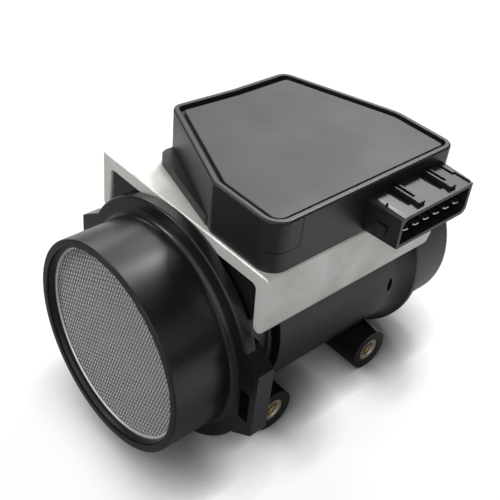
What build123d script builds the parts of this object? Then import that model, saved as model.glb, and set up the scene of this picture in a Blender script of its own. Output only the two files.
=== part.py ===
from build123d import *
from math import cos, floor, radians, sin, sqrt, tan
import os

# Mass airflow sensor for an engine intake, in millimetres.
# X runs along the air duct from the inlet mouth, Z is up, and the origin is the
# centre of the inlet mouth. The connector is on the -Y side.

# ---------------------------------------------------------------- duct, outside
inlet_r = 38.0           # hose seat on the inlet, 76 mm across
lip_round = 0.5
flange_x = 23.6
flange_t = 4.6
flange_rise = 6.5
flange_r = inlet_r + flange_rise
tube_x = 45.9
tube_r = 35.3
neck_depth = 4.3         # waist between the flange and the tube
neck_r = tube_r - neck_depth
flare_rise = 3.6         # the tube flares out to a hose stop
flare_r = tube_r + flare_rise
flare_x = 112.4
flare_len = 9.0
flare_lip = 2.2
oval_x = 102.2           # oval sink on the connector side of the tube
oval_z = 1.0
oval_w = 2.4
oval_h = 6.2
oval_depth = 1.4
outlet_step = 0.6
outlet_r = tube_r + outlet_step
outlet_x = 135.2

# ----------------------------------------------------------------- duct, inside
mouth_wall = 2.6
mouth_bore_r = inlet_r - mouth_wall    # counterbore that takes the screen
screen_seat = 1.8
inlet_bore_r = mouth_bore_r - screen_seat
neck_wall = 3.4
throat_r = neck_r - neck_wall
throat_x = 27.6
throat_len = 23.0
bell_len = 17.0
outlet_wall = 3.3
outlet_bore_r = outlet_r - outlet_wall
recovery_x = 112.6

# ------------------------------------------------- side lugs on the front flange
lug_half_y = 48.0
lug_foot_z = -15.3
lug_top_z = {-1: 11.8, 1: 15.2}    # the lug on the connector side is shorter
lug_slope_len = 8.2      # length across of the slanted ends
lug_slope_rise = 5.6
lug_t = 6.6
pocket_side = 4.7        # cored pocket in the face of each lug, from its end
pocket_y = lug_half_y - pocket_side
pocket_z = -4.9
pocket_w = 4.4
pocket_h = 12.6
pocket_depth = 4.0
pad_side = 4.0
pad_y = lug_half_y - pad_side
pad_z = 6.7
pad_w = 3.4
pad_h = 4.6
pad_t = 0.5

# ------------------------------- cross bars under the duct, with threaded inserts
bar_x = (50.8, 103.3)
bar_r = 8.7
bar_half_len = 32.5
bar_z = bar_r - flange_r  # the bars and the flange rest on one level
insert_r = 4.9
insert_bore_r = 2.5       # minor diameter of an M6 thread
insert_len = 10.0
insert_recess = 0.3
knurl_groove = 0.35

# ------------------------------------------------------- sensor box over the duct
box_x0 = 29.2
box_x1 = 107.1
box_rise = 3.2
box_h = 14.9
box_top = tube_r + box_rise
box_z0 = box_top - box_h
box_corner = 1.6
chamber_x0 = 48.6        # bypass chamber that the sensing elements hang in
chamber_x1 = 68.6
chamber_half_y = 8.0
chamber_skin = 2.7
chamber_floor = throat_r + chamber_skin
bypass_r = 3.0
bypass_z = chamber_floor + bypass_r + 0.1
bypass_wall = 2.0
bypass_exit_x = 63.6     # the exit is a slot across the throat
bypass_exit_w = 3.4
bypass_exit_len = 10.0

# ------------------------------------------------------- aluminium heat sink saddle
saddle_x0 = 28.4
saddle_x1 = 109.0
saddle_half_y = 41.9
saddle_t = 5.0
saddle_flank = 4.9       # thickness of the flanks under the top
saddle_foot = 4.0        # thickness of the flanks at the feet
saddle_gap = 0.4
saddle_in_top = saddle_half_y - saddle_flank
saddle_in_foot = saddle_half_y - saddle_foot
box_half_y = saddle_in_top - saddle_gap
saddle_drop = 22.1       # height of the flanks
saddle_edge = 1.2        # rounding of the long top edges
saddle_bevel = 4.6
seal_t = 0.5
seal_w = 2.5
saddle_z0 = box_top + seal_t
saddle_top = saddle_z0 + saddle_t

# ------------------------------------------------------------------- module case
case_h = 18.5
case_wall = 2.0
case_floor = 1.6
case_flare = 0.6         # degrees the walls lean out towards the open top
rim_w = 1.6
rim_drop = 0.4           # the lid lies this far below the rim
lid_t = 2.2
lid_gap = 0.1
lid_skirt_t = 0.8        # thin edge of the lid at the bottom of the groove
lid_groove = 1.55        # width of the groove between rim and lid
lid_shift = (-0.2, -0.65)    # the raised panel sits nearer the connector side
case_x0 = 29.4
case_x1 = 110.7
case_y0 = -41.3
case_corners = (          # x, y and corner radius, anticlockwise from the front left
    (46.8, 28.5, 4.2),
    (case_x0, -14.2, 3.6),
    (case_x0, case_y0, 6.5),
    (case_x1, case_y0, 4.5),
    (case_x1, -16.5, 14.0),
    (96.2, 26.4, 5.0),
    (72.0, 26.5, 40.0),
)
tray_h = 3.6              # stepped foot along the slanted front and the +Y side
tray_corners = (
    (40.6, 26.6, 4.5),
    (30.4, -11.0, 0.6),
    (70.0, -11.0, 0.6),
    (70.0, 26.6, 0.6),
)
case_z0 = saddle_top
case_top = case_z0 + case_h
floor_top = case_z0 + case_floor

# --------------------------------------------------------------- connector shroud
terminal_count = 6
terminal_pitch = 5.08
terminal_x = 88.2         # middle of the row
terminal_w = 2.8
terminal_row = (terminal_count - 1) * terminal_pitch + terminal_w
shroud_x0 = terminal_x - terminal_row / 2 - 4.9
shroud_x1 = terminal_x + terminal_row / 2 + 3.3
shroud_reach = 13.2
shroud_lift = 0.3
shroud_h = 13.0
shroud_y = case_y0 - shroud_reach
shroud_z0 = case_z0 + shroud_lift
shroud_z1 = shroud_z0 + shroud_h
shroud_draft = 2.6
shroud_root_y = case_y0 + 0.75 * case_wall    # inside the case wall
shroud_wall = 1.3
shroud_skin = 2.0        # wall left behind the socket
shroud_back_y = case_y0 - shroud_skin
ridge_w = 1.9             # raised edge at the right of the shroud
ridge_h = 0.6
ridge_inset = 0.3
ridge_round = 0.8
ridge_step = 1.0          # its rear half is this much wider
ridge_rear = 7.8
latch_x = (80.4, 96.0)    # pairs of latch rails on the shroud
rail_gap = 2.0
rail_w = 0.7
rail_h = 0.9
rail_len = 10.6
stop_w = 3.0
stop_len = 1.4
slot_depth = 1.5
slot_back = 2.6
rail_sink = 0.5          # the drafted roof lies this far below the root
relief_w = 3.2            # ramp sunk into the roof beside each pair
relief_depth = 1.0
side_pad_w = 4.4
side_pad_h = 3.0
side_pad_z = shroud_z0 + 5.3
side_pad_t = 0.4

# ---------------------------------------------------------------------- terminals
terminal_t = 0.8
terminal_rise = 5.3
terminal_z = shroud_z0 + terminal_rise
tip_flat = 0.4            # blunt end of each blade
tip_bevel = 1.1
terminal_recess = 1.5
terminal_tip_y = shroud_y + terminal_recess
terminal_leg_in = 5.5
terminal_leg_y = case_y0 + terminal_leg_in

# -------------------------------------------------------------- electronics inside
board_t = 1.0
board_rise = 2.0
board_z = floor_top + board_rise
board_y0 = case_y0 + 3.5
board_y1 = 10.0
board_cut_y = board_y0 + 28.0    # a corner is cut off beside the rounded case
board_cut_x = 6.5
board_x0 = case_x0 + 13.2
board_x1 = case_x1 - 7.1
post_r = 0.4
post_spread = 3.5
post_tip_z = chamber_floor + 2.1
element_x = (54.6, 60.6)
element_z = post_tip_z + 0.6
bobbin_r = 0.55
bobbin_len = 3.0
wire_r = 0.15
carrier_x0 = 50.2
carrier_x1 = 67.0
carrier_half_y = 6.6
carrier_reach = 2.0
carrier_z0 = box_top - carrier_reach
carrier_lip = 2.4
window_gap = 0.3
device_x = 74.6
device_y = 17.0
device_size = (12.0, 9.0, 4.2)
device_legs = (-2.5, 0.0, 2.5)

# -------------------------------------------------------------------------- screws
screw_places = ((38.1, -30.0), (97.6, -21.0), (90.6, 18.5), (53.6, 19.5))
board_pads = ((44.8, -35.0), (100.8, -34.0), (44.8, 7.0), (91.0, 6.5))
board_pad_r = 2.2
screw_r = 2.0
screw_head_r = 3.6
screw_head_h = 2.6
screw_depth = 7.5
screw_tip_z = box_top - screw_depth
screw_gap = 0.2

# -------------------------------------------------------------------- inlet screen
ring_x = 3.0
ring_t = 0.6
ring_in_r = mouth_bore_r - 1.7
wire_w = 0.38
wire_pitch = 1.15
wire_turn = 19.0          # the weave is turned by this angle about the duct
retainer_x = 0.8
retainer_in_r = mouth_bore_r - 0.9
seat_gap = 0.1
screen_x = ring_x + ring_t
mouth_depth = screen_x + 2 * wire_w

os.makedirs("parts", exist_ok=True)


def save(part, name):
    part.label = name
    export_step(part, f"parts/{name}.step")


def rounded_outline(corners, inset=0.0):
    """A closed outline from (x, y, radius) corners, drawn in by inset."""
    with BuildSketch() as outline:
        with BuildLine():
            Polyline(*[(x, y) for x, y, radius in corners], close=True)
        make_face()
        for x, y, radius in corners:
            nearest = outline.vertices().sort_by_distance((x, y, 0))[0]
            fillet(nearest, radius)
        if inset:
            offset(amount=-inset)
    return outline.sketch


# ==================================================================== duct body
throat_end = throat_x + throat_len

with BuildPart() as duct_body:
    with BuildSketch() as outer:
        with BuildLine():
            Polyline(
                (0, 0),
                (0, inlet_r),
                (flange_x, inlet_r),
                (flange_x, flange_r),
                (flange_x + flange_t, flange_r),
                (flange_x + flange_t, neck_r),
                (tube_x, neck_r),
                (tube_x, tube_r),
                (flare_x - flare_len, tube_r),
            )
            TangentArc(
                (flare_x - flare_len, tube_r), (flare_x, flare_r), tangent=(1, 0)
            )
            Polyline(
                (flare_x, flare_r),
                (flare_x + flare_lip, flare_r),
                (flare_x + flare_lip, outlet_r),
                (outlet_x, outlet_r),
                (outlet_x, 0),
                (0, 0),
            )
        make_face()
        outer_rounds = (
            (0, inlet_r, lip_round),
            (flange_x, inlet_r, 2.4),
            (flange_x, flange_r, 0.9),
            (flange_x + flange_t, flange_r, 0.9),
            (flange_x + flange_t, neck_r, 1.6),
            (tube_x, neck_r, 1.6),
            (tube_x, tube_r, 0.6),
            (flare_x + flare_lip, flare_r, 0.4),
            (flare_x + flare_lip, outlet_r, 0.6),
            (outlet_x, outlet_r, 1.2),
        )
        for x, r, radius in outer_rounds:
            fillet(outer.vertices().sort_by_distance((x, r, 0))[0], radius)
    revolve(axis=Axis.X)

    # side lugs of the flange
    with BuildSketch(Plane.YZ.offset(flange_x)) as lugs:
        for side, top in lug_top_z.items():
            root_y = side * (lug_half_y - lug_slope_len)
            with BuildLine():
                Polyline(
                    (0, top + lug_slope_rise),
                    (root_y, top + lug_slope_rise),
                    (side * lug_half_y, top),
                    (side * lug_half_y, lug_foot_z),
                    (root_y, lug_foot_z - lug_slope_rise),
                    (0, lug_foot_z - lug_slope_rise),
                    close=True,
                )
            make_face()
        for side, top in lug_top_z.items():
            for tip_z in (top, lug_foot_z):
                tip = lugs.vertices().sort_by_distance((side * lug_half_y, tip_z, 0))[0]
                fillet(tip, 1.2)
    extrude(amount=lug_t)
    with BuildSketch(Plane.YZ.offset(flange_x)):
        with Locations((-pocket_y, pocket_z), (pocket_y, pocket_z)):
            RectangleRounded(pocket_w, pocket_h, 0.8)
    extrude(amount=pocket_depth, mode=Mode.SUBTRACT)
    with BuildSketch(Plane.YZ.offset(flange_x)):
        with Locations((-pad_y, pad_z), (pad_y, pad_z)):
            RectangleRounded(pad_w, pad_h, 0.5)
    extrude(amount=-pad_t)

    # cross bars that carry the threaded inserts
    with BuildSketch(Plane.XZ.offset(-bar_half_len)) as bars:
        for x in bar_x:
            with Locations((x, bar_z)):
                Circle(bar_r)
    extrude(amount=2 * bar_half_len)

    # sensor box and the bypass inlet that leads to it
    with BuildSketch(Plane.YZ.offset(box_x0)) as box_end:
        with Locations((0, (box_z0 + box_top) / 2)):
            Rectangle(2 * box_half_y, box_top - box_z0)
        fillet(box_end.vertices(), box_corner)
    extrude(amount=box_x1 - box_x0)
    with BuildSketch(Plane.YZ.offset(flange_x + 1)):
        with Locations((0, bypass_z)):
            Circle(bypass_r + bypass_wall)
    extrude(amount=box_x0 - flange_x)

    # air passage through the whole body
    with BuildSketch() as bore:
        with BuildLine():
            Polyline(
                (throat_x - bell_len, inlet_bore_r),
                (mouth_depth, inlet_bore_r),
                (mouth_depth, mouth_bore_r),
                (-1, mouth_bore_r),
                (-1, 0),
                (outlet_x + 1, 0),
                (outlet_x + 1, outlet_bore_r),
                (recovery_x, outlet_bore_r),
                (throat_end, throat_r),
                (throat_x, throat_r),
            )
            Spline(
                (throat_x - bell_len, inlet_bore_r),
                (throat_x, throat_r),
                tangents=((1, 0), (1, 0)),
            )
        make_face()
        fillet(bore.vertices().sort_by_distance((throat_end, throat_r, 0))[0], 20)
        fillet(bore.vertices().sort_by_distance((recovery_x, outlet_bore_r, 0))[0], 20)
    revolve(axis=Axis.X, mode=Mode.SUBTRACT)

    # bypass: inlet hole, chamber under the module, exit hole into the throat
    with BuildSketch(Plane.YZ.offset(throat_x - bell_len)):
        with Locations((0, bypass_z)):
            Circle(bypass_r)
    extrude(amount=chamber_x0 - throat_x + bell_len + 1, mode=Mode.SUBTRACT)
    with BuildSketch(Plane.XY.offset(chamber_floor)) as chamber:
        with Locations(((chamber_x0 + chamber_x1) / 2, 0)):
            RectangleRounded(chamber_x1 - chamber_x0, 2 * chamber_half_y, 2.0)
    extrude(amount=box_top - chamber_floor, mode=Mode.SUBTRACT)
    with BuildSketch(Plane.XY.offset(throat_r - 6)):
        with Locations((bypass_exit_x, 0)):
            RectangleRounded(bypass_exit_w, bypass_exit_len, 0.45 * bypass_exit_w)
    extrude(amount=chamber_floor - throat_r + 7, mode=Mode.SUBTRACT)

    # shallow oval mark hole in the side of the tube
    with BuildSketch(Plane.XZ.offset(tube_r + 1)):
        with Locations((oval_x, oval_z)):
            Ellipse(oval_w / 2, oval_h / 2)
    extrude(amount=-(oval_depth + 1), mode=Mode.SUBTRACT)

    # seats of the inserts and pilot holes of the screws
    for side in (-1, 1):
        seat_plane = Plane.XZ.offset(-side * bar_half_len)
        with BuildSketch(seat_plane):
            for x in bar_x:
                with Locations((x, bar_z)):
                    Circle(insert_r)
        extrude(amount=side * (insert_len + insert_recess), mode=Mode.SUBTRACT)
    with BuildSketch(Plane.XY.offset(screw_tip_z)):
        with Locations(*screw_places):
            Circle(screw_r)
    extrude(amount=box_top - screw_tip_z, mode=Mode.SUBTRACT)

save(duct_body.part, "duct_body")

# =============================================================== threaded inserts
insert_ends = {"front": bar_x[0], "rear": bar_x[1]}
insert_sides = {"right": -1, "left": 1}
for end_name, x in insert_ends.items():
    for side_name, side in insert_sides.items():
        face_y = side * (bar_half_len - insert_recess)
        with BuildPart() as insert:
            with BuildSketch() as insert_section:
                with BuildLine():
                    Polyline(
                        (insert_bore_r, 0),
                        (insert_r, 0),
                        (insert_r, 0.30 * insert_len),
                        (insert_r - knurl_groove, 0.36 * insert_len),
                        (insert_r - knurl_groove, 0.48 * insert_len),
                        (insert_r, 0.54 * insert_len),
                        (insert_r, insert_len),
                        (insert_bore_r, insert_len),
                        close=True,
                    )
                make_face()
                mouth = insert_section.vertices().sort_by_distance((insert_bore_r, 0, 0))[0]
                chamfer(mouth, 0.6)
            revolve(axis=Axis.Y)
        seat = Location((x, face_y, bar_z), (0, 0, 180 if side > 0 else 0))
        placed_insert = insert.part.moved(seat)
        save(placed_insert, f"insert_{end_name}_{side_name}")

# ==================================================================== inlet screen
wire_reach = mouth_bore_r - 2 * seat_gap
wire_steps = floor(ring_in_r / wire_pitch)


def wire_layer(x, turn):
    """Parallel wires across the mouth, cut to the circle, as separate solids."""
    across = Vector(0, cos(radians(turn)), sin(radians(turn)))
    turned = Plane(origin=(x, 0, 0), x_dir=across, z_dir=(1, 0, 0))
    with BuildPart() as layer:
        with BuildSketch(turned):
            for step in range(-wire_steps, wire_steps + 1):
                aside = step * wire_pitch
                chord = 2 * sqrt(wire_reach**2 - (abs(aside) + wire_w) ** 2)
                with Locations((aside, 0)):
                    Rectangle(wire_w, chord)
        extrude(amount=wire_w)
    return layer.part


warp = wire_layer(screen_x, wire_turn)
weft = wire_layer(screen_x + wire_w, wire_turn + 90)
save(Compound(children=[warp, weft]), "inlet_screen")

with BuildPart() as screen_ring:
    with BuildSketch(Plane.YZ.offset(ring_x)):
        Circle(mouth_bore_r - seat_gap)
        Circle(ring_in_r, mode=Mode.SUBTRACT)
    extrude(amount=ring_t)
    chamfer(screen_ring.edges().filter_by(GeomType.CIRCLE).group_by(Axis.X)[0].sort_by(SortBy.RADIUS)[0], 0.25)
save(screen_ring.part, "screen_ring")

with BuildPart() as screen_retainer:
    with BuildSketch() as retainer_section:
        with BuildLine():
            Polyline(
                (retainer_x, mouth_bore_r - seat_gap),
                (ring_x, mouth_bore_r - seat_gap),
                (ring_x, retainer_in_r),
                (retainer_x + 1.1, retainer_in_r),
                (retainer_x, retainer_in_r + 0.55),
                close=True,
            )
        make_face()
    revolve(axis=Axis.X)
save(screen_retainer.part, "screen_retainer")

# ================================================================ heat sink saddle
foot_z = saddle_top - saddle_drop

with BuildPart() as heat_sink_saddle:
    with BuildSketch(Plane.YZ.offset(saddle_x0)) as channel:
        with BuildLine():
            Polyline(
                (0, saddle_z0),
                (saddle_in_top, saddle_z0),
                (saddle_in_foot, foot_z),
                (saddle_half_y, foot_z),
                (saddle_half_y, saddle_top),
                (0, saddle_top),
                close=True,
            )
        make_face()
        mirror(about=Plane.YZ)
        foot_round = 0.47 * (saddle_half_y - saddle_in_foot)
        saddle_rounds = (
            (saddle_in_top, saddle_z0, 1.6),
            (saddle_half_y, saddle_top, saddle_edge),
            (saddle_in_foot, foot_z, foot_round),
            (saddle_half_y, foot_z, foot_round),
        )
        for y, z, radius in saddle_rounds:
            for side in (-1, 1):
                fillet(channel.vertices().sort_by_distance((side * y, z, 0))[0], radius)
    extrude(amount=saddle_x1 - saddle_x0)
    with BuildSketch(Plane.XZ.offset(-saddle_half_y - 1)):
        with BuildLine():
            Polyline(
                (saddle_x1 - 0.55 * saddle_bevel, foot_z - 0.1),
                (saddle_x1 + 0.1, foot_z - 0.1),
                (saddle_x1 + 0.1, foot_z + saddle_bevel),
                close=True,
            )
        make_face()
    extrude(amount=2 * saddle_half_y + 2, mode=Mode.SUBTRACT)
    front_edges = heat_sink_saddle.faces().sort_by(Axis.X)[0].edges()
    chamfer(front_edges, 0.4)
    with BuildSketch(Plane.XY.offset(saddle_z0)):
        with Locations(((carrier_x0 + carrier_x1) / 2, 0)):
            Rectangle(
                carrier_x1 - carrier_x0 + 2 * window_gap,
                2 * (carrier_half_y + window_gap),
            )
        with Locations(*screw_places):
            Circle(screw_r + screw_gap)
    extrude(amount=saddle_t, mode=Mode.SUBTRACT)
save(heat_sink_saddle.part, "heat_sink_saddle")

with BuildPart() as duct_seal:
    with BuildSketch(Plane.XY.offset(box_top)):
        with Locations(((chamber_x0 + chamber_x1) / 2, 0)):
            RectangleRounded(
                chamber_x1 - chamber_x0 + 2 * seal_w, 2 * (chamber_half_y + seal_w), 4.0
            )
            RectangleRounded(
                chamber_x1 - chamber_x0, 2 * chamber_half_y, 2.0, mode=Mode.SUBTRACT
            )
    extrude(amount=seal_t)
save(duct_seal.part, "duct_seal")

# ===================================================================== module case
outline = rounded_outline(case_corners)
cavity = rounded_outline(case_corners, case_wall + 0.4)
lid_opening = rounded_outline(case_corners, rim_w)
tray_outline = rounded_outline(tray_corners)
lid_top = case_top - rim_drop
lid_z0 = lid_top - lid_t
shroud_mid_x = (shroud_x0 + shroud_x1) / 2
shroud_narrow = (shroud_root_y - shroud_y) * tan(radians(shroud_draft))
shroud_rounds = (
    ((shroud_x1, shroud_z0, 0), 3.0),
    ((shroud_x0, shroud_z1, 0), 2.0),
    ((shroud_x0, shroud_z0, 0), 1.2),
    ((shroud_x1, shroud_z1, 0), 0.6),
)
terminal_places = [
    terminal_x + (i - (terminal_count - 1) / 2) * terminal_pitch
    for i in range(terminal_count)
]

with BuildPart() as module_case:
    with BuildSketch(Plane.XY.offset(case_z0)):
        add(outline)
    extrude(amount=case_h, taper=-case_flare)
    rim_edges = module_case.faces().sort_by(Axis.Z)[-1].edges()
    fillet(rim_edges, 0.7)
    with BuildSketch(Plane.XY.offset(case_z0)):
        add(tray_outline)
    extrude(amount=tray_h)

    # connector shroud with its raised right edge, side pad and latch rails
    with BuildSketch(Plane.XZ.offset(-shroud_root_y)) as shroud:
        with Locations((shroud_mid_x, (shroud_z0 + shroud_z1) / 2)):
            Rectangle(shroud_x1 - shroud_x0, shroud_z1 - shroud_z0)
        for corner in shroud_rounds:
            fillet(shroud.vertices().sort_by_distance(corner[0])[0], corner[1])
    extrude(amount=shroud_root_y - shroud_y, taper=shroud_draft)
    ridge_y = shroud_y + 1.0
    ridge_top = shroud_z1 + ridge_h
    ridge_x1 = shroud_x1 - ridge_inset
    with BuildSketch(Plane.XZ.offset(-shroud_root_y)) as ridge:
        with Locations((ridge_x1 - ridge_w / 2, ridge_top - 1.6)):
            Rectangle(ridge_w, 3.2)
        outer_corner = (ridge_x1, ridge_top, 0)
        fillet(ridge.vertices().sort_by_distance(outer_corner)[0], ridge_round)
    extrude(amount=shroud_root_y - ridge_y, taper=shroud_draft)
    with BuildSketch(Plane.XZ.offset(-shroud_root_y)):
        with Locations((ridge_x1 - ridge_w, ridge_top - 1.6)):
            Rectangle(2 * ridge_step, 3.2)
    extrude(amount=ridge_rear, taper=shroud_draft)
    with BuildSketch(Plane.YZ.offset(shroud_x0 + side_pad_t)):
        with Locations((shroud_y + 6.8, side_pad_z)):
            Rectangle(side_pad_w, side_pad_h)
    extrude(amount=-2 * side_pad_t)
    rail_y0 = shroud_y + 2.2
    rail_z0 = shroud_z1 - rail_sink
    with BuildSketch(Plane.XZ.offset(-rail_y0 - stop_len)):
        for x in latch_x:
            rail_x = x - (rail_gap + rail_w) / 2
            with BuildLine():
                Polyline(
                    (rail_x, rail_z0 - relief_depth + rail_sink / 2),
                    (rail_x, shroud_z1 + rail_h),
                    (rail_x - 0.4 * relief_w, shroud_z1 + rail_h),
                    (rail_x - relief_w, rail_z0 + rail_sink / 2),
                    close=True,
                )
            make_face()
    extrude(amount=stop_len - rail_len, mode=Mode.SUBTRACT)
    with BuildSketch(Plane.XY.offset(rail_z0 - relief_depth)):
        for x in latch_x:
            with Locations((x, rail_y0 + rail_len / 2)):
                Rectangle(rail_gap + rail_w, rail_len)
            with Locations((x, rail_y0)):
                Rectangle(stop_w, stop_len)
    extrude(amount=relief_depth + rail_h + rail_sink)
    with BuildSketch(Plane.XY.offset(rail_z0 + rail_h + rail_sink - slot_depth)):
        for x in latch_x:
            with Locations((x, rail_y0 + rail_len / 2 + slot_back)):
                Rectangle(rail_gap - rail_w, rail_len)
    extrude(amount=slot_depth, mode=Mode.SUBTRACT)

    # inside of the case, seat of the lid and socket of the connector
    with BuildSketch(Plane.XY.offset(floor_top)):
        add(cavity)
    extrude(amount=case_h, mode=Mode.SUBTRACT)
    with BuildSketch(Plane.XY.offset(lid_z0)):
        add(lid_opening)
    extrude(amount=case_h, mode=Mode.SUBTRACT)
    with BuildSketch(Plane.XZ.offset(-shroud_y)) as socket:
        with Locations((shroud_mid_x, (shroud_z0 + shroud_z1) / 2)):
            Rectangle(
                shroud_x1 - shroud_x0 - 2 * (shroud_wall + shroud_narrow),
                shroud_z1 - shroud_z0 - 2 * (shroud_wall + shroud_narrow),
            )
        low_right = (shroud_x1, shroud_z0, 0)
        top_left = (shroud_x0, shroud_z1, 0)
        fillet(socket.vertices().sort_by_distance(low_right)[0], 2.4)
        fillet(socket.vertices().sort_by_distance(top_left)[0], 2.6)
    extrude(amount=shroud_y - shroud_back_y, mode=Mode.SUBTRACT)

    # slots of the terminals, pads of the board, windows and screw holes in the floor
    with BuildSketch(Plane.XZ.offset(-shroud_back_y)):
        for x in terminal_places:
            with Locations((x, terminal_z)):
                Rectangle(terminal_w, terminal_t)
    extrude(amount=-8, mode=Mode.SUBTRACT)
    with BuildSketch(Plane.XY.offset(floor_top)):
        with Locations(*board_pads):
            Circle(board_pad_r)
    extrude(amount=board_rise)
    with BuildSketch(Plane.XY.offset(case_z0)):
        with Locations(((carrier_x0 + carrier_x1) / 2, 0)):
            Rectangle(
                carrier_x1 - carrier_x0 + 2 * window_gap,
                2 * (carrier_half_y + window_gap),
            )
        with Locations((device_x, device_y)):
            Rectangle(device_size[0] + 2 * window_gap, device_size[1] + 2 * window_gap)
        with Locations(*screw_places):
            Circle(screw_r + screw_gap)
    extrude(amount=case_floor, mode=Mode.SUBTRACT)
save(module_case.part, "module_case")

with BuildPart() as module_lid:
    with BuildSketch(Plane.XY.offset(lid_z0)):
        add(rounded_outline(case_corners, rim_w + lid_gap))
    extrude(amount=lid_skirt_t)
    with BuildSketch(Plane.XY.offset(lid_z0)):
        with Locations(lid_shift):
            add(rounded_outline(case_corners, rim_w + lid_gap + lid_groove))
    extrude(amount=lid_t)
    fillet(module_lid.faces().sort_by(Axis.Z)[-1].edges(), 0.3)
save(module_lid.part, "module_lid")

# ======================================================================= terminals
leg_foot = board_z + board_t
for i, x in enumerate(terminal_places):
    with BuildPart() as terminal:
        with BuildSketch(Plane.YZ.offset(x - terminal_w / 2)):
            with BuildLine():
                Polyline(
                    (terminal_tip_y, terminal_z - tip_flat / 2),
                    (terminal_tip_y, terminal_z + tip_flat / 2),
                    (terminal_tip_y + tip_bevel, terminal_z + terminal_t / 2),
                    (terminal_leg_y + terminal_t, terminal_z + terminal_t / 2),
                    (terminal_leg_y + terminal_t, leg_foot),
                    (terminal_leg_y, leg_foot),
                    (terminal_leg_y, terminal_z - terminal_t / 2),
                    (terminal_tip_y + tip_bevel, terminal_z - terminal_t / 2),
                    close=True,
                )
            make_face()
        extrude(amount=terminal_w)
        tip_edges = terminal.edges().filter_by(Axis.Z).group_by(Axis.Y)[0]
        chamfer(tip_edges, 0.6)
    save(terminal.part, f"terminal_{i + 1}")

# ==================================================================== electronics
post_places = [(x, side * post_spread) for x in element_x for side in (-1, 1)]

with BuildPart() as element_carrier:
    with BuildSketch(Plane.XY.offset(carrier_z0)):
        with Locations(((carrier_x0 + carrier_x1) / 2, 0)):
            Rectangle(carrier_x1 - carrier_x0, 2 * carrier_half_y)
    extrude(amount=floor_top - carrier_z0)
    fillet(element_carrier.edges().filter_by(Axis.Z), 1.0)
    with BuildSketch(Plane.XY.offset(floor_top)):
        with Locations(((carrier_x0 + carrier_x1) / 2, 0)):
            RectangleRounded(
                carrier_x1 - carrier_x0 + 2 * carrier_lip,
                2 * (carrier_half_y + carrier_lip),
                1.5,
            )
    extrude(amount=board_rise)
    with BuildSketch(Plane.XY.offset(carrier_z0)):
        with Locations(*post_places):
            Circle(post_r)
    extrude(amount=board_z - carrier_z0, mode=Mode.SUBTRACT)
save(element_carrier.part, "element_carrier")

with BuildPart() as element_posts:
    with BuildSketch(Plane.XY.offset(post_tip_z)):
        with Locations(*post_places):
            Circle(post_r)
    extrude(amount=board_z + board_t + 0.8 - post_tip_z)
save(element_posts.part, "element_posts")

element_names = ("hot_wire_element", "cold_wire_element")
for name, x in zip(element_names, element_x):
    lead_half = post_spread - post_r
    with BuildPart() as element:
        with BuildSketch(Plane.XZ.offset(lead_half)):
            with Locations((x, element_z)):
                Circle(wire_r)
        extrude(amount=-2 * lead_half)
        with BuildSketch(Plane.XZ.offset(bobbin_len / 2)):
            with Locations((x, element_z)):
                Circle(bobbin_r)
        extrude(amount=-bobbin_len)
    save(element.part, name)

with BuildPart() as circuit_board:
    with BuildSketch(Plane.XY.offset(board_z)):
        with BuildLine():
            Polyline(
                (board_x0, board_y0),
                (board_x1, board_y0),
                (board_x1, board_cut_y),
                (board_x1 - board_cut_x, board_y1),
                (board_x0, board_y1),
                close=True,
            )
        make_face()
        with Locations(screw_places[1]):
            Circle(screw_head_r + 0.5, mode=Mode.SUBTRACT)
        with Locations(*post_places):
            Circle(post_r + 0.05, mode=Mode.SUBTRACT)
    extrude(amount=board_t)
save(circuit_board.part, "circuit_board")

with BuildPart() as power_transistor:
    with BuildSketch(Plane.XY.offset(case_z0)):
        with Locations((device_x, device_y)):
            Rectangle(device_size[0], device_size[1])
    extrude(amount=device_size[2])
    chamfer(power_transistor.faces().sort_by(Axis.Z)[-1].edges(), 0.6)
    leg_start = device_y - device_size[1] / 2
    leg_len = leg_start - board_y1 + 3
    with BuildSketch(Plane.XY.offset(board_z - 0.5)):
        for aside in device_legs:
            with Locations((device_x + aside, leg_start - leg_len / 2 + 0.5)):
                Rectangle(0.8, leg_len + 1)
    extrude(amount=0.5)
save(power_transistor.part, "power_transistor")

# ========================================================================= screws
with BuildPart() as housing_screws:
    with BuildSketch(Plane.XY.offset(screw_tip_z)):
        with Locations(*screw_places):
            Circle(screw_r)
    extrude(amount=floor_top - screw_tip_z)
    with BuildSketch(Plane.XY.offset(floor_top)):
        with Locations(*screw_places):
            Circle(screw_head_r)
    extrude(amount=screw_head_h)
    fillet(
        housing_screws.edges().filter_by(GeomType.CIRCLE).group_by(Axis.Z)[-1], 0.8
    )
    with BuildSketch(Plane.XY.offset(floor_top + screw_head_h - 1.4)):
        with Locations(*screw_places):
            RegularPolygon(1.5, 6)
    extrude(amount=1.4, mode=Mode.SUBTRACT)
save(housing_screws.part, "housing_screws")
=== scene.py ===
import bpy
from math import cos, pi, radians, sin, sqrt
from mathutils import Matrix, Vector


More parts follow.
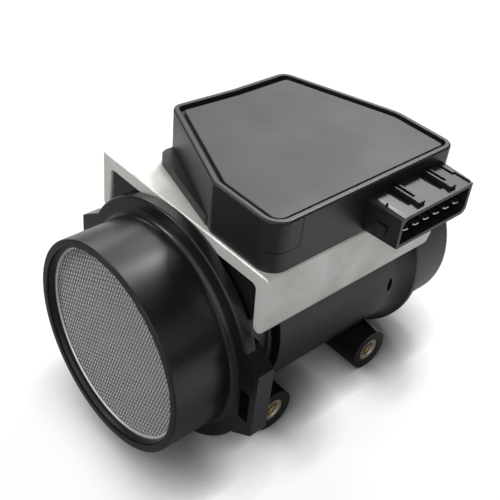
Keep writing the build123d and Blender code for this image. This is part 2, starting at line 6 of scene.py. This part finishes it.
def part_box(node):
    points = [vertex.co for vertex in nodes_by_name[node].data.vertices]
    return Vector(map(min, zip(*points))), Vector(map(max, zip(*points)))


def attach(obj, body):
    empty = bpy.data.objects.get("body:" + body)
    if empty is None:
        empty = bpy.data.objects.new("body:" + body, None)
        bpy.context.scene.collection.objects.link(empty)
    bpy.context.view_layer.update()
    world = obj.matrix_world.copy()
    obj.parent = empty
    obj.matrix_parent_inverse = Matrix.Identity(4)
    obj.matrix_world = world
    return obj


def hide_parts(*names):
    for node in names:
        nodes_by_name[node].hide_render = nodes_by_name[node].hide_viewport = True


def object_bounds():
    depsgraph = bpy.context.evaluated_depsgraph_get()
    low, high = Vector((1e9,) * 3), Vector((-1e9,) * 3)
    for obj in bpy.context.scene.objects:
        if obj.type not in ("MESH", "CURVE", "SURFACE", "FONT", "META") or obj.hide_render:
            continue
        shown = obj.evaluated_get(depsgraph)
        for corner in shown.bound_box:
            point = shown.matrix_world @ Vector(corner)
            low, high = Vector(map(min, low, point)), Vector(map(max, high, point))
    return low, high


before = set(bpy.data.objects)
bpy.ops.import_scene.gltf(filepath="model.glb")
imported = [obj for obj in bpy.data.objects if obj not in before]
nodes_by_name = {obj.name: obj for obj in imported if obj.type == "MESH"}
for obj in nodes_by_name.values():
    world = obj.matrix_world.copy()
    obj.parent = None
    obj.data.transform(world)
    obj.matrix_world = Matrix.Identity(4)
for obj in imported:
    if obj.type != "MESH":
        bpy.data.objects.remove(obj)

cad_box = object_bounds()
MM = 0.001


# ---------------------------------------------------------------- material helpers
def new_material(name):
    """An empty node material with its output and its principled shader."""
    made = bpy.data.materials.new(name)
    made.use_nodes = True
    tree = made.node_tree
    tree.nodes.clear()
    output = tree.nodes.new("ShaderNodeOutputMaterial")
    shader = tree.nodes.new("ShaderNodeBsdfPrincipled")
    tree.links.new(shader.outputs["BSDF"], output.inputs["Surface"])
    return made, tree, shader


def object_point(tree, stretch=(1, 1, 1)):
    """Object coordinates through a mapping that can stretch a pattern."""
    coords = tree.nodes.new("ShaderNodeTexCoord")
    mapping = tree.nodes.new("ShaderNodeMapping")
    mapping.inputs["Scale"].default_value = stretch
    tree.links.new(coords.outputs["Object"], mapping.inputs["Vector"])
    return mapping.outputs["Vector"]


def along_x(tree):
    """How far along the part's X a point lies."""
    parts = tree.nodes.new("ShaderNodeSeparateXYZ")
    tree.links.new(object_point(tree), parts.inputs["Vector"])
    return parts.outputs["X"]


def cloud(tree, point, scale, detail=3.0, roughness=0.55):
    """Soft noise at a point, from 0 to 1."""
    noise = tree.nodes.new("ShaderNodeTexNoise")
    noise.inputs["Scale"].default_value = scale
    noise.inputs["Detail"].default_value = detail
    noise.inputs["Roughness"].default_value = roughness
    tree.links.new(point, noise.inputs["Vector"])
    return noise.outputs["Fac"]


def ramp(tree, value, stops):
    """A colour ramp from (position, colour) stops; a number makes a grey."""
    node = tree.nodes.new("ShaderNodeValToRGB")
    elements = node.color_ramp.elements
    while len(elements) < len(stops):
        elements.new(0.5)
    for element, (place, colour) in zip(elements, stops):
        element.position = place
        if isinstance(colour, (int, float)):
            colour = (colour, colour, colour)
        element.color = (*colour, 1.0)
    tree.links.new(value, node.inputs["Fac"])
    return node.outputs["Color"]


def bump(tree, height, strength, distance):
    """A normal that follows small heights."""
    node = tree.nodes.new("ShaderNodeBump")
    node.inputs["Strength"].default_value = strength
    node.inputs["Distance"].default_value = distance
    tree.links.new(height, node.inputs["Height"])
    return node.outputs["Normal"]


def maths(tree, operation, first, second):
    """A maths node on two sockets, or on a socket and a number."""
    node = tree.nodes.new("ShaderNodeMath")
    node.operation = operation
    for place, value in enumerate((first, second)):
        if isinstance(value, (int, float)):
            node.inputs[place].default_value = value
        else:
            tree.links.new(value, node.inputs[place])
    return node.outputs["Value"]


def moulded_plastic(name, colour, rough, grain=0.10, spec=0.5):
    """Filled black plastic: cloudy colour, fine grain, uneven sheen."""
    made, tree, shader = new_material(name)
    point = object_point(tree)
    wide = cloud(tree, point, 38.0, 4.0)
    fine = cloud(tree, point, 1900.0, 2.0)
    dark = tuple(0.82 * c for c in colour)
    pale = tuple(1.22 * c + 0.001 for c in colour)
    tone = ramp(tree, wide, [(0.3, dark), (0.7, pale)])
    tree.links.new(tone, shader.inputs["Base Color"])
    low, high = rough
    sheen = ramp(tree, wide, [(0.3, high), (0.72, low)])
    tree.links.new(sheen, shader.inputs["Roughness"])
    shader.inputs["Specular IOR Level"].default_value = spec
    tree.links.new(bump(tree, fine, grain, 0.00006), shader.inputs["Normal"])
    return made


def streaked_metal(name, rough, stretch, metallic):
    """Metal with drawn streaks in its sheen, still without a colour."""
    made, tree, shader = new_material(name)
    streak = cloud(tree, object_point(tree, stretch), 420.0, 4.0)
    low, high = rough
    sheen = ramp(tree, streak, [(0.3, high), (0.7, low)])
    tree.links.new(sheen, shader.inputs["Roughness"])
    shader.inputs["Metallic"].default_value = metallic
    tree.links.new(bump(tree, streak, 0.12, 0.00008), shader.inputs["Normal"])
    return made, tree, shader, streak


def bare_metal(name, colour, rough, stretch=(1, 1, 1), metallic=1.0):
    """Metal with drawn streaks in its colour and sheen."""
    made, tree, shader, streak = streaked_metal(name, rough, stretch, metallic)
    dark = tuple(0.86 * c for c in colour)
    pale = tuple(min(1.0, 1.08 * c) for c in colour)
    tone = ramp(tree, streak, [(0.3, dark), (0.7, pale)])
    tree.links.new(tone, shader.inputs["Base Color"])
    return made


def metal_painted_shade_along_x(name, rough, metallic, front_x, front, back_x, back):
    """Metal coloured along X: front up to front_x, and back from back_x on; the dark back
    colour is painted shade.
    """
    made, tree, shader, _ = streaked_metal(name, rough, (1, 1, 1), metallic)
    dip = tree.nodes.new("ShaderNodeMapRange")
    dip.inputs["From Min"].default_value = front_x
    dip.inputs["From Max"].default_value = back_x
    tree.links.new(along_x(tree), dip.inputs["Value"])
    tone = ramp(tree, dip.outputs["Result"], [(0.0, front), (1.0, back)])
    tree.links.new(tone, shader.inputs["Base Color"])
    return made


def worn_aluminium(name):
    """Cast aluminium gone dull, with paler blotches and small white scuffs."""
    made, tree, shader = new_material(name)
    blotch = cloud(tree, object_point(tree), 70.0, 5.0, 0.6)
    tones = [(0.32, (0.70, 0.70, 0.66)), (0.50, (0.80, 0.80, 0.75)), (0.68, 0.88)]
    scuff = cloud(tree, object_point(tree, (1, 2.4, 2.4)), 210.0, 6.0, 0.7)
    mix = tree.nodes.new("ShaderNodeMixRGB")
    mix.inputs["Color2"].default_value = (0.96, 0.96, 0.95, 1)
    tree.links.new(ramp(tree, scuff, [(0.60, 0.0), (0.70, 0.55)]), mix.inputs["Fac"])
    tree.links.new(ramp(tree, blotch, tones), mix.inputs["Color1"])
    tree.links.new(mix.outputs["Color"], shader.inputs["Base Color"])
    sheen = ramp(tree, blotch, [(0.3, 0.60), (0.7, 0.42)])
    tree.links.new(sheen, shader.inputs["Roughness"])
    shader.inputs["Metallic"].default_value = 0.35
    tree.links.new(bump(tree, scuff, 0.15, 0.0001), shader.inputs["Normal"])
    return made


# ---------------------------------------------------------- sizes of the woven screen
wire_r = 0.14 * MM
wire_pitch = 1.15 * MM
wire_reach = 35.2 * MM
wire_count = 29              # wires on each side of the middle one
wire_sides = 6
wave_height = 0.16 * MM      # how far a wire rises over a crossing
wave_steps = 4               # steps from a crest to the next trough
screen_turn = 19.0
screen_middle = sum(corner[0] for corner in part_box("inlet_screen")) / 2
crest_x = screen_middle - wave_height - 0.12 * MM
trough_x = screen_middle + 0.10 * MM

# -------------------------------------------------------------------- the finishes
duct_finish = moulded_plastic(
    "duct_moulding", (0.008, 0.0084, 0.0084), (0.22, 0.34), grain=0.05, spec=0.44
)
case_finish = moulded_plastic("module_case_moulding", (0.009, 0.0095, 0.0095), (0.34, 0.44))
lid_finish = moulded_plastic(
    "module_lid_moulding", (0.037, 0.039, 0.038), (0.44, 0.52), spec=0.44
)
retainer_finish = moulded_plastic(
    "retainer_moulding", (0.012, 0.012, 0.012), (0.35, 0.45), spec=0.4
)
carrier_finish = moulded_plastic("carrier_moulding", (0.02, 0.02, 0.02), (0.45, 0.55))
device_finish = moulded_plastic("device_moulding", (0.012, 0.012, 0.012), (0.5, 0.6))
board_finish = moulded_plastic("circuit_board_lacquer", (0.02, 0.10, 0.04), (0.3, 0.4))
seal_finish = moulded_plastic("seal_rubber", (0.014, 0.014, 0.014), (0.7, 0.8))
# near black: the pin mark's colour, and the painted shade of the case's corner seam
pin_mark_and_painted_seam_finish = moulded_plastic("pin_mark_and_painted_seam_shade", (0.003, 0.003, 0.003), (0.6, 0.7), spec=0.1)
saddle_finish = worn_aluminium("saddle_aluminium")
ring_finish = bare_metal("ring_steel", (0.88, 0.89, 0.88), (0.3, 0.4), metallic=0.5)
# painted shade: the wires' colour darkens where they dip behind a crossing
wire_finish = metal_painted_shade_along_x(
    "screen_wire_steel_painted_dip_shade", (0.3, 0.4), 0.25, crest_x, (1.0, 1.0, 0.99), trough_x, 0.14
)
screw_finish = bare_metal("screw_steel", (0.55, 0.55, 0.54), (0.3, 0.45))
platinum_finish = bare_metal("element_platinum", (0.75, 0.74, 0.71), (0.25, 0.35))
# drawn or turned pieces have their streaks close together along Y
drawn = (1, 6, 1)
tin_finish = bare_metal("terminal_tin", (0.72, 0.71, 0.69), (0.25, 0.4), drawn)
brass_finish = bare_metal("insert_brass", (0.36, 0.27, 0.10), (0.35, 0.5), drawn)
sleeve_finish = bare_metal(
    "sleeve_plated_brass", (0.60, 0.55, 0.45), (0.35, 0.5), drawn, metallic=0.7
)

finishes = {
    "duct_body": duct_finish,
    "module_case": case_finish,
    "module_lid": lid_finish,
    "heat_sink_saddle": saddle_finish,
    "inlet_screen": wire_finish,
    "screen_ring": ring_finish,
    "screen_retainer": retainer_finish,
    "element_carrier": carrier_finish,
    "element_posts": screw_finish,
    "hot_wire_element": platinum_finish,
    "cold_wire_element": platinum_finish,
    "circuit_board": board_finish,
    "power_transistor": device_finish,
    "duct_seal": seal_finish,
    "housing_screws": screw_finish,
}
for number in range(1, 7):
    finishes[f"terminal_{number}"] = tin_finish
for end in ("front", "rear"):
    for side in ("left", "right"):
        finishes[f"insert_{end}_{side}"] = brass_finish
for node, finish in finishes.items():
    for place in nodes_by_name[node].material_slots:
        place.material = finish

# ------------------------------------------------------------------- piece helpers
smooth_angle = radians(30)
touch = 0.01 * MM            # what lies within this of a place counts as being there


def unselect():
    bpy.ops.object.select_all(action="DESELECT")


def pick(piece):
    """Make one object the only selected one, and active."""
    unselect()
    piece.select_set(True)
    bpy.context.view_layer.objects.active = piece


def fix_place(place=True):
    """Apply the active object's turn and scale, and its place too."""
    bpy.ops.object.transform_apply(location=place, rotation=True, scale=True)


def apply_all(piece):
    """Apply every modifier, then the place and turn, so the mesh is in the part's frame."""
    pick(piece)
    for modifier in list(piece.modifiers):
        bpy.ops.object.modifier_apply(modifier=modifier.name)
    fix_place()


def edit_all():
    """Go into edit mode with everything selected."""
    bpy.ops.object.mode_set(mode="EDIT")
    bpy.ops.mesh.select_all(action="SELECT")


def choose(piece, kind, rule):
    """In edit mode, select just the corners, edges or faces that fit the rule."""
    bpy.ops.mesh.select_mode(type=kind)
    bpy.ops.mesh.select_all(action="DESELECT")
    bpy.ops.object.mode_set(mode="OBJECT")
    mesh = piece.data
    for item in {"VERT": mesh.vertices, "EDGE": mesh.edges, "FACE": mesh.polygons}[kind]:
        item.select = rule(item)
    bpy.ops.object.mode_set(mode="EDIT")


def face_outwards():
    """In edit mode, turn every face outwards, and leave edit mode."""
    bpy.ops.mesh.select_all(action="SELECT")
    bpy.ops.mesh.normals_make_consistent(inside=False)
    bpy.ops.object.mode_set(mode="OBJECT")


def twin(piece, name):
    """A copy with a mesh of its own."""
    made = piece.copy()
    made.data = piece.data.copy()
    made.name = name
    bpy.context.scene.collection.objects.link(made)
    return made


def join(pieces, name):
    """Make one object of several."""
    unselect()
    for piece in pieces:
        piece.select_set(True)
    bpy.context.view_layer.objects.active = pieces[0]
    bpy.ops.object.join()
    pieces[0].name = name
    return pieces[0]


def finish_piece(piece, finish):
    """Give a piece its finish, and hand it to the part's body."""
    piece.data.materials.clear()
    piece.data.materials.append(finish)
    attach(piece, "root")


# ------------------------------------------------------------------ woven inlet screen
waves_each_way = wire_count // 2 + 3
long_half = waves_each_way * 2 * wire_pitch


def one_wire():
    """A wire along X that rises and falls over its crossings, longer than the screen."""
    unselect()
    bpy.ops.mesh.primitive_circle_add(
        vertices=wire_sides,
        radius=wire_r,
        location=(0, 0, wave_height),
        rotation=(0, pi / 2, 0),
    )
    wire = bpy.context.object
    fix_place()
    edit_all()
    steps = 2 * wave_steps
    for step in range(steps):
        before = wave_height * cos(pi * step / wave_steps)
        after = wave_height * cos(pi * (step + 1) / wave_steps)
        bpy.ops.mesh.extrude_region_move(
            TRANSFORM_OT_translate={"value": (2 * wire_pitch / steps, 0, after - before)}
        )
    bpy.ops.object.mode_set(mode="OBJECT")
    repeat = wire.modifiers.new("repeat", "ARRAY")
    repeat.count = 2 * waves_each_way
    repeat.use_merge_vertices = True
    repeat.merge_threshold = touch
    apply_all(wire)
    wire.data.transform(Matrix.Translation((-long_half, 0, 0)))
    return wire


def cut_wire(wire, half):
    """Trim both ends of a wire and close them."""
    pick(wire)
    bpy.ops.object.mode_set(mode="EDIT")
    for side in (-1, 1):
        bpy.ops.mesh.select_all(action="SELECT")
        bpy.ops.mesh.bisect(
            plane_co=(side * half, 0, 0),
            plane_no=(side, 0, 0),
            use_fill=True,
            clear_outer=True,
        )
    bpy.ops.object.mode_set(mode="OBJECT")


def wire_layer(master, name, turn, flipped):
    """All wires of one direction. Every other one is upside down: the odd ones where
    flipped is 1, and the even ones where it is 0."""
    # the wire's own X goes along the screen and its Z points into the duct
    along = Vector((0, -sin(radians(turn)), cos(radians(turn))))
    across = Vector((0, cos(radians(turn)), sin(radians(turn))))
    into = Vector((1, 0, 0))
    axes = Matrix((along, -across, into)).transposed().to_4x4()
    wires = []
    for step in range(-wire_count, wire_count + 1):
        aside = step * wire_pitch
        half = sqrt(wire_reach**2 - (abs(aside) + wire_r) ** 2)
        wire = twin(master, f"{name}_{step + wire_count}")
        cut_wire(wire, half)
        if step % 2 == flipped:
            wire.data.transform(Matrix.Rotation(pi, 4, "X"))
        place = Matrix.Translation(Vector((screen_middle, 0, 0)) + aside * across)
        wire.data.transform(place @ axes)
        wires.append(wire)
    layer = join(wires, name)
    pick(layer)
    bpy.ops.object.shade_smooth()
    finish_piece(layer, wire_finish)
    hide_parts("inlet_screen")


long_wire = one_wire()
wire_layer(long_wire, "screen_warp", screen_turn, 1)
wire_layer(long_wire, "screen_weft", screen_turn + 90, 0)
bpy.data.objects.remove(long_wire)

# ------------------------------------------------------------------- threaded sleeves
sleeve_r = 4.9 * MM
sleeve_len = 10.0 * MM
sleeve_sides = 40
groove_r = 4.55 * MM                       # groove between the sleeve's two knurls
groove_edges = (0.30, 0.36, 0.48, 0.54)    # shares of the sleeve's length
groove_floor = (0.34, 0.50)                # the groove's floor lies between these
rim_w = 0.12 * MM                          # turned outer edge of the mouth
rim_drop = 0.12 * MM
thread_crest = 2.5 * MM
thread_root = 3.05 * MM
thread_pitch = 1.0 * MM
thread_turns = 8
thread_steps = 28                          # steps in each turn
thread_stretch = 1.4                       # of the thread's section, along the bore
triangle_h = 1.5                           # height of a triangle in a circle of r 1
lead_in = 0.5 * MM


def one_sleeve():
    """The turned sleeve, mouth up at the origin, with a groove round it and an open bore."""
    unselect()
    bpy.ops.mesh.primitive_cylinder_add(
        vertices=sleeve_sides,
        radius=sleeve_r,
        depth=sleeve_len,
        location=(0, 0, -sleeve_len / 2),
    )
    sleeve = bpy.context.object
    fix_place()
    bpy.ops.object.mode_set(mode="EDIT")
    for share in groove_edges:
        bpy.ops.mesh.select_all(action="SELECT")
        bpy.ops.mesh.bisect(plane_co=(0, 0, -share * sleeve_len), plane_no=(0, 0, 1))
    high, low = (-share * sleeve_len for share in groove_floor)
    choose(
        sleeve,
        "FACE",
        lambda face: low < face.center.z < high and abs(face.normal.z) < 0.5,
    )
    narrow = groove_r / sleeve_r
    bpy.ops.transform.resize(value=(narrow, narrow, 1), center_override=(0, 0, 0))
    # the mouth: a flat ring, then a cone down to the thread
    flat = sleeve_r - thread_root - lead_in
    choose(sleeve, "FACE", lambda face: face.normal.z > 0.9)
    bpy.ops.mesh.inset(thickness=rim_w, depth=0)
    bpy.ops.mesh.inset(thickness=flat - rim_w, depth=0)
    bpy.ops.mesh.inset(thickness=lead_in, depth=-lead_in)
    choose(sleeve, "FACE", lambda face: face.normal.z < -0.9)
    bpy.ops.mesh.inset(thickness=sleeve_r - thread_root, depth=0)
    # open the bore from end to end
    choose(
        sleeve,
        "FACE",
        lambda face: abs(face.normal.z) > 0.9 and face.center.xy.length < 0.1 * MM,
    )
    bpy.ops.mesh.bridge_edge_loops()
    # the outer edge of the mouth sits a little lower, as a turned edge does
    choose(
        sleeve,
        "VERT",
        lambda corner: corner.co.z > -touch and corner.co.xy.length > sleeve_r - 5 * touch,
    )
    bpy.ops.transform.translate(value=(0, 0, -rim_drop))
    face_outwards()
    bpy.ops.object.shade_smooth_by_angle(angle=smooth_angle)
    return sleeve


def one_thread():
    """The thread in the bore: a three-sided section screwed down the sleeve's axis."""
    section_r = (thread_root - thread_crest) / triangle_h
    unselect()
    bpy.ops.mesh.primitive_circle_add(
        vertices=3,
        radius=section_r,
        location=(thread_crest + section_r, 0, -lead_in - 0.5 * thread_pitch),
        rotation=(pi / 2, -pi / 2, 0),
    )
    thread = bpy.context.object
    fix_place(place=False)
    bpy.ops.transform.resize(
        value=(1, 1, thread_stretch), center_override=tuple(thread.location)
    )
    fix_place()
    screw = thread.modifiers.new("screw", "SCREW")
    screw.axis = "Z"
    screw.screw_offset = -thread_pitch
    screw.iterations = thread_turns
    screw.steps = thread_steps
    screw.render_steps = thread_steps
    apply_all(thread)
    edit_all()
    bpy.ops.mesh.fill_holes(sides=4)
    face_outwards()
    bpy.ops.object.shade_smooth_by_angle(angle=smooth_angle)
    return thread


first_sleeve, first_thread = one_sleeve(), one_thread()
for end in ("front", "rear"):
    for side, face in (("left", 1), ("right", -1)):
        node = f"insert_{end}_{side}"
        low, high = (Vector(corner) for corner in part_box(node))
        seat = (low + high) / 2
        seat.y = high.y if face > 0 else low.y
        place = Matrix.Translation(seat) @ Matrix.Rotation(-face * pi / 2, 4, "X")
        for master, finish, kind in (
            (first_sleeve, sleeve_finish, "sleeve"),
            (first_thread, brass_finish, "thread"),
        ):
            made = twin(master, f"{node}_{kind}")
            made.data.transform(place)
            finish_piece(made, finish)
            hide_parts(node)
bpy.data.objects.remove(first_sleeve)
bpy.data.objects.remove(first_thread)

# ------------------------------------------- thin panel round the case's near corner
corner_r = 6.5 * MM
corner_x, corner_y = 35.9 * MM, -34.8 * MM
corner_sides = 96
corner_slack = 0.1 * MM      # the sheet starts this far off the case
panel_start = -38.0 * MM
panel_end = 39.9 * MM
panel_low, panel_high = 51.8 * MM, 61.7 * MM
panel_proud = 0.2 * MM
seam_proud = 0.1 * MM
seam_w = 0.42 * MM


def corner_sheet(name, low, end, proud, finish):
    """A sheet round the case's near corner, from its front on to x = end, this proud."""
    unselect()
    bpy.ops.mesh.primitive_cylinder_add(
        vertices=corner_sides,
        radius=corner_r + corner_slack,
        depth=panel_high - low,
        end_fill_type="NOTHING",
        location=(corner_x, corner_y, (low + panel_high) / 2),
    )
    sheet = bpy.context.object
    sheet.name = name
    fix_place()
    bpy.ops.object.mode_set(mode="EDIT")
    for point, way in (((0, panel_start, 0), (0, 1, 0)), ((corner_x, 0, 0), (1, 0, 0))):
        bpy.ops.mesh.select_all(action="SELECT")
        bpy.ops.mesh.bisect(plane_co=point, plane_no=way, clear_outer=True)
    # the end that meets the flat wall runs on along it
    mesh = sheet.data
    choose(
        sheet,
        "EDGE",
        lambda edge: all(mesh.vertices[v].co.x > corner_x - touch for v in edge.vertices),
    )
    bpy.ops.mesh.extrude_region_move(
        TRANSFORM_OT_translate={"value": (end - corner_x, 0, 0)}
    )
    face_outwards()
    hug = sheet.modifiers.new("hug", "SHRINKWRAP")
    hug.target = nodes_by_name["module_case"]
    hug.wrap_method = "NEAREST_SURFACEPOINT"
    hug.wrap_mode = "OUTSIDE_SURFACE"
    hug.offset = proud
    thick = sheet.modifiers.new("thick", "SOLIDIFY")
    thick.thickness = 3 * proud
    thick.offset = -1
    apply_all(sheet)
    bpy.ops.object.shade_smooth_by_angle(angle=smooth_angle)
    finish_piece(sheet, finish)


corner_sheet("case_corner_panel", panel_low, panel_end, panel_proud, case_finish)
# a black sheet under the panel shows past two of its edges: painted shade of the seam
corner_sheet(
    "case_corner_painted_seam_shade", panel_low - seam_w, panel_end + seam_w, seam_proud, pin_mark_and_painted_seam_finish
)

# ------------------------------------------------- moulding mark on the shroud's roof
mark_x, mark_y, mark_z = 71.2 * MM, -46.9 * MM, 57.3 * MM
mark_r = 0.45 * MM
mark_h = 0.4 * MM
mark_sunk = 0.14 * MM        # its middle lies this far under the roof
mark_rim = 0.1 * MM
mark_wall = 0.05 * MM
mark_hollow = 0.25 * MM
unselect()
bpy.ops.mesh.primitive_cylinder_add(
    vertices=24, radius=mark_r, depth=mark_h, location=(mark_x, mark_y, mark_z - mark_sunk)
)
mark = bpy.context.object
mark.name = "shroud_pin_mark"
fix_place()
bpy.ops.object.mode_set(mode="EDIT")
choose(mark, "FACE", lambda face: face.normal.z > 0.9)
bpy.ops.mesh.inset(thickness=mark_rim, depth=0)
bpy.ops.mesh.inset(thickness=mark_wall, depth=-mark_hollow)
bpy.ops.object.mode_set(mode="OBJECT")
bpy.ops.object.shade_smooth_by_angle(angle=smooth_angle)
finish_piece(mark, pin_mark_and_painted_seam_finish)

# ------------------------------------------------------------------ the paper floor
# The camera and mirror-like surfaces see the floor as white paper, lit by its own glow. That
# glow is cut where the part stands close above it, as a painted shadow, and in reflections
# for some way round the part too.
paper_glow = 0.91
paper_colour = (1.0, 1.0, 0.99, 1)
painted_shadow_reach = 0.025
mirrored_painted_shadow_reach = 0.10
painted_shadow_power = 3.0
# the painted shadow is narrower in front of the part's mouth and wider on the other side
painted_shadow_way = (-0.45, 0.22, 0.87)


def painted_shadow_openness(tree, reach):
    """Painted shadow: how open the paper is to the room, looking as far as reach, which dims
    its glow.
    """
    look = tree.nodes.new("ShaderNodeAmbientOcclusion")
    look.samples = 16
    look.inputs["Distance"].default_value = reach
    way = tree.nodes.new("ShaderNodeCombineXYZ")
    for socket, value in zip(way.inputs, painted_shadow_way):
        socket.default_value = value
    tree.links.new(way.outputs["Vector"], look.inputs["Normal"])
    return maths(tree, "POWER", look.outputs["AO"], painted_shadow_power)


unselect()
floor_z = cad_box[0][2]
bpy.ops.mesh.primitive_plane_add(size=6.0, location=(0.06, 0, floor_z - 0.00005))
floor = bpy.context.object
floor.name = "studio_floor"
floor_paint, tree, shader = new_material("floor_paint")
shader.inputs["Roughness"].default_value = 0.9
shader.inputs["Specular IOR Level"].default_value = 0.0
paper = cloud(tree, object_point(tree), 60.0)
tree.links.new(ramp(tree, paper, [(0.3, 0.12), (0.7, 0.13)]), shader.inputs["Base Color"])
seen = tree.nodes.new("ShaderNodeLightPath").outputs
straight = maths(tree, "MULTIPLY", seen["Is Camera Ray"], painted_shadow_openness(tree, painted_shadow_reach))
mirrored = maths(tree, "MAXIMUM", seen["Is Glossy Ray"], seen["Is Transmission Ray"])
mirrored = maths(tree, "MULTIPLY", mirrored, painted_shadow_openness(tree, mirrored_painted_shadow_reach))
# painted reflection: the floor's glow seen in reflections is darkened in front of the part's
# mouth
past_mouth = maths(tree, "ADD", maths(tree, "MULTIPLY", along_x(tree), 5.0), 0.5)
painted_reflection_shade = ramp(tree, past_mouth, [(0.1, 0.15), (0.4, 0.75)])
mirrored = maths(tree, "MULTIPLY", mirrored, painted_reflection_shade)
glow = maths(tree, "MULTIPLY", maths(tree, "MAXIMUM", straight, mirrored), paper_glow)
shader.inputs["Emission Color"].default_value = paper_colour
tree.links.new(glow, shader.inputs["Emission Strength"])
floor.data.materials.append(floor_paint)

# ------------------------------------------------------------------ world and lamps
scene = bpy.context.scene
scene.view_settings.view_transform = "Standard"
world = bpy.data.worlds.new("studio")
scene.world = world
world.use_nodes = True
background = world.node_tree.nodes["Background"]
background.inputs["Color"].default_value = (1, 1, 1, 1)
background.inputs["Strength"].default_value = 0.02

lamp_target = Vector((0.06, 0.0, 0.0))
lamp_distance = 1.2


def soft_lamp(name, azimuth, elevation, power, size):
    """A round soft lamp that faces the object."""
    lamp = bpy.data.lights.new(name, "AREA")
    lamp.shape = "DISK"
    lamp.size = size
    lamp.energy = power
    made = bpy.data.objects.new(name, lamp)
    scene.collection.objects.link(made)
    around, up = radians(azimuth), radians(elevation)
    way = Vector((cos(up) * cos(around), cos(up) * sin(around), sin(up)))
    made.location = lamp_target + lamp_distance * way
    made.rotation_euler = way.to_track_quat("Z", "Y").to_euler()


# name, azimuth, elevation, power and size
for lamp_setting in (
    ("main", 45, 40, 1.9, 0.5),
    ("main_left", 75, 30, 2.4, 0.5),
    ("main_high", 30, 62, 1.3, 0.5),
    ("low_right", 30, 14, 0.8, 0.5),
    ("low_middle", 60, 14, 0.6, 0.5),
    ("low_left", 150, 14, 0.6, 0.5),
    ("left", 137, 34, 3.6, 0.25),
    ("left_high", 140, 60, 0.7, 0.5),
    ("front_left", 200, 30, 7.5, 1.5),
    ("spigot_gleam", 26, 50, 7.5, 0.2),
    ("right_high", -10, 52, 0.8, 0.5),
    ("right_front", -90, 28, 2.4, 1.2),
):
    soft_lamp(*lamp_setting)

# --------------------------------------------------------------------------- camera
view = bpy.data.cameras.new("camera")
view.sensor_width = 36.0
view.lens = 62.883
view.shift_x = 0.0008
view.shift_y = -0.0187
view.clip_start = 0.01
camera = bpy.data.objects.new("camera", view)
scene.collection.objects.link(camera)
right = Vector((0.74456633, -0.66084074, 0.09439542))
down = Vector((-0.35087773, -0.50772424, -0.78682966))
forward = Vector((0.56789594, 0.55272563, -0.60990867))
turn = Matrix((right, -down, -forward)).transposed().to_4x4()
camera.matrix_world = Matrix.Translation((-0.11451756, -0.17156655, 0.20642508)) @ turn
scene.camera = camera
